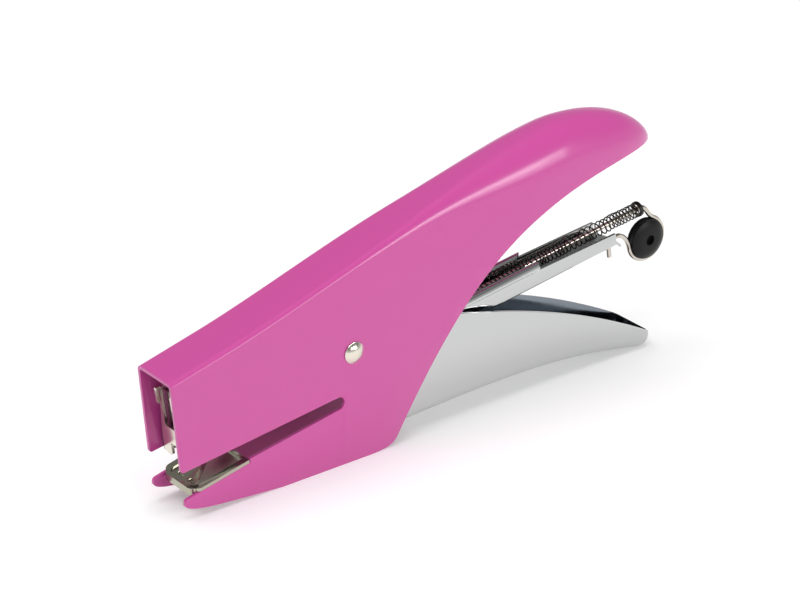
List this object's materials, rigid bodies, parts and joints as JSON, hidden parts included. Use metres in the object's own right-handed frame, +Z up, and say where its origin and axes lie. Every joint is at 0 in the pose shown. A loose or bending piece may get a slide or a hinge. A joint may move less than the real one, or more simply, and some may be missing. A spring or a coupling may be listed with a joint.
{
  "type": "plier stapler",
  "caption": "Plier stapler with a pink steel body, chromed squeeze handle, tilting magazine and pull-out feeder rod.",
  "frame": {"origin": "under the middle of the whole length and width, on the plane of the table it rests on", "axes": "+X from the jaws to the grips, +Z up from the table, +Y across, to the left of someone looking from the grips to the jaws"},
  "size_m": [0.1825, 0.0212, 0.08],
  "materials": {
    "pink_paint": "gloss",
    "chrome_plate": "polished",
    "nickel_steel": "satin",
    "dark_steel": "dull",
    "spring_steel": "bright",
    "black_plastic": "satin"
  },
  "bodies": {
    "shell": {"body_shell": "pink_paint", "anvil_plate": "dark_steel", "pivot_rivet": "nickel_steel", "return_spring": "spring_steel"},
    "lever": {"lower_handle": "chrome_plate", "driver_arm": "nickel_steel", "arm_rivets": "nickel_steel", "driver_blade": "spring_steel", "driver_pin": "dark_steel", "pivot_bush": "nickel_steel"},
    "magazine": {"magazine_rail": "nickel_steel", "nose_plate": "nickel_steel", "nose_rivets": "nickel_steel", "pivot_bracket": "nickel_steel"},
    "feeder": {"feeder_rod": "nickel_steel", "rod_cap": "nickel_steel", "feeder_knob": "black_plastic", "spring_stop": "dark_steel", "magazine_spring": "spring_steel"},
    "pusher": {"staple_pusher": "dark_steel"}
  },
  "joints": [
    {"name": "squeeze", "type": "hinge", "parent": "shell", "child": "lever", "pos_m": [-0.032, 0, 0.0337], "axis": [0, -1, 0], "range_deg": [0, 13], "stiffness_Nm_per_rad": 0.8, "springref_deg": -20.05, "deforming": ["return_spring"]},
    {"name": "magazine_tilt", "type": "hinge", "parent": "shell", "child": "magazine", "pos_m": [-0.032, 0, 0.0337], "axis": [0, -1, 0], "range_deg": [0, 6.2]},
    {"name": "feeder_pull", "type": "slide", "parent": "magazine", "child": "feeder", "axis": [0.9912, 0, 0.1323], "range_m": [0, 0.08]},
    {"name": "pusher_travel", "type": "slide", "parent": "feeder", "child": "pusher", "axis": [0.9912, 0, 0.1323], "range_m": [0, 0.04], "stiffness_N_per_m": 20, "springref_m": -0.03, "deforming": ["magazine_spring"]}
  ],
  "couplings": [
    {"joint": "magazine_tilt", "follows": "squeeze", "ratio": 0.4769}
  ]
}
